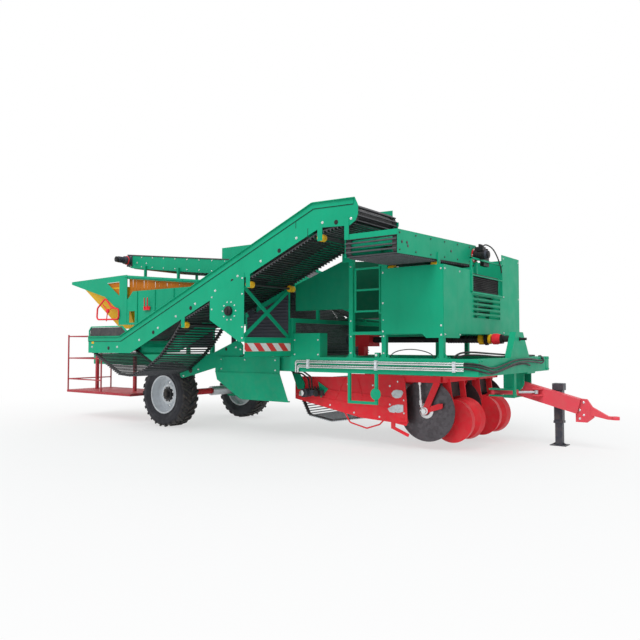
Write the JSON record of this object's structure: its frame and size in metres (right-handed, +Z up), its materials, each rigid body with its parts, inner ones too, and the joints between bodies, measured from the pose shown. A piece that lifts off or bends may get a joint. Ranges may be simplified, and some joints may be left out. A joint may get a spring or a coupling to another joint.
{
  "type": "towed potato harvester",
  "caption": "Towed potato harvester with digging web, coulters and ridge rollers, side elevator, picking platform, rear hopper, steered drawbar and parking jack.",
  "frame": {"origin": "on the ground, below the middle of the whole machine's box", "axes": "+X forward to the hitch, +Y to the machine's left, +Z up"},
  "size_m": [9.43, 3.482, 3.039],
  "materials": {
    "green_paint": "satin gloss",
    "red_paint": "satin gloss",
    "white_paint": "gloss",
    "yellow_paint": "satin",
    "dark_paint": "satin",
    "striped": "satin",
    "zinc": "satin",
    "steel": "satin",
    "web_rubber": "matt",
    "tyre_rubber": "matt",
    "black_plastic": "matt"
  },
  "bodies": {
    "chassis": {"arm_plate": "green_paint", "axle_sleeve": "zinc", "axle_tube": "red_paint", "chassis_frame": "green_paint", "conveyor_motors": "dark_paint", "cross_conveyor": "green_paint", "cross_web": "web_rubber", "deck": "green_paint", "drawbar_bracket": "green_paint", "drive_shaft": "black_plastic", "drive_stand": "green_paint", "elevator_brace": "green_paint", "elevator_inner_wall": "green_paint", "elevator_outer_wall": "green_paint", "elevator_rollers": "yellow_paint", "elevator_web": "web_rubber", "front_panel": "green_paint", "funnel": "yellow_paint", "funnel_ring": "red_paint", "gearbox": "red_paint", "hopper": "green_paint", "hopper_wings": "green_paint", "hydraulic_pipes": "zinc", "inner_conveyor": "green_paint", "inner_web": "web_rubber", "left_wall": "green_paint", "middle_panel": "green_paint", "oil_tank": "green_paint", "platform_posts": "green_paint", "rear_platform": "red_paint", "side_panel": "green_paint", "skirt": "green_paint", "step": "green_paint", "tail_curtain": "web_rubber", "transfer_conveyor": "green_paint", "transfer_web": "web_rubber", "upper_conveyor": "green_paint", "upper_web": "web_rubber", "warning_board": "striped"},
    "right_wheel": {"right_wheel": "white_paint", "right_tyre": "tyre_rubber"},
    "left_wheel": {"left_wheel": "white_paint", "left_tyre": "tyre_rubber"},
    "gate": {"gate": "green_paint"},
    "digging_unit": {"dig_frame": "red_paint", "dig_web": "web_rubber", "dig_share": "red_paint", "front_curtain": "web_rubber", "web_motor": "dark_paint"},
    "right_coulter": {"right_coulter": "steel"},
    "middle_coulter": {"middle_coulter": "steel"},
    "left_coulter": {"left_coulter": "steel"},
    "right_ridge_roller": {"right_ridge_roller": "red_paint"},
    "left_ridge_roller": {"left_ridge_roller": "red_paint"},
    "drawbar": {"drawbar": "red_paint", "jack_tube": "dark_paint"},
    "jack": {"jack_leg": "dark_paint"},
    "steering_barrel": {"steering_barrel": "red_paint"},
    "steering_ram": {"steering_ram": "zinc"}
  },
  "joints": [
    {"name": "right_wheel_spin", "type": "hinge", "parent": "chassis", "child": "right_wheel", "pos_m": [-1.815, -0.589, 0.525], "axis": [0, 1, 0], "continuous": true},
    {"name": "left_wheel_spin", "type": "hinge", "parent": "chassis", "child": "left_wheel", "pos_m": [-1.815, 1.191, 0.525], "axis": [0, 1, 0], "continuous": true},
    {"name": "gate_hinge", "type": "hinge", "parent": "chassis", "child": "gate", "pos_m": [2.329, -0.739, 1.76], "axis": [0, 0, -1], "range_deg": [0, 90]},
    {"name": "digging_unit_lift", "type": "hinge", "parent": "chassis", "child": "digging_unit", "pos_m": [0.785, 0.561, 0.75], "axis": [0, -1, 0], "range_deg": [-3, 4]},
    {"name": "right_coulter_spin", "type": "hinge", "parent": "digging_unit", "child": "right_coulter", "pos_m": [2.715, -0.257, 0.5], "axis": [0, 1, 0], "continuous": true},
    {"name": "middle_coulter_spin", "type": "hinge", "parent": "digging_unit", "child": "middle_coulter", "pos_m": [2.715, 0.561, 0.5], "axis": [0, 1, 0], "continuous": true},
    {"name": "left_coulter_spin", "type": "hinge", "parent": "digging_unit", "child": "left_coulter", "pos_m": [2.715, 1.379, 0.5], "axis": [0, 1, 0], "continuous": true},
    {"name": "right_ridge_roller_spin", "type": "hinge", "parent": "digging_unit", "child": "right_ridge_roller", "pos_m": [2.985, 0.111, 0.375], "axis": [0, 1, 0], "continuous": true},
    {"name": "left_ridge_roller_spin", "type": "hinge", "parent": "digging_unit", "child": "left_ridge_roller", "pos_m": [2.985, 1.011, 0.375], "axis": [0, 1, 0], "continuous": true},
    {"name": "drawbar_swing", "type": "hinge", "parent": "chassis", "child": "drawbar", "pos_m": [3.385, 1.011, 0.775], "axis": [0, 0, 1], "range_deg": [-12, 12]},
    {"name": "jack_slide", "type": "slide", "parent": "drawbar", "child": "jack", "axis": [0, 0, 1], "range_m": [0, 0.25]},
    {"name": "steering_barrel_pivot", "type": "hinge", "parent": "chassis", "child": "steering_barrel", "pos_m": [3.285, 0.511, 0.715], "axis": [0, 0, 1], "range_deg": [-6, 6]},
    {"name": "steering_ram_slide", "type": "slide", "parent": "steering_barrel", "child": "steering_ram", "axis": [0.7894, 0.6139, 0], "range_m": [-0.09, 0.09]}
  ],
  "couplings": [
    {"joint": "steering_barrel_pivot", "follows": "drawbar_swing", "ratio": 0.318},
    {"joint": "steering_ram_slide", "follows": "drawbar_swing", "m_per_rad": 0.332}
  ]
}
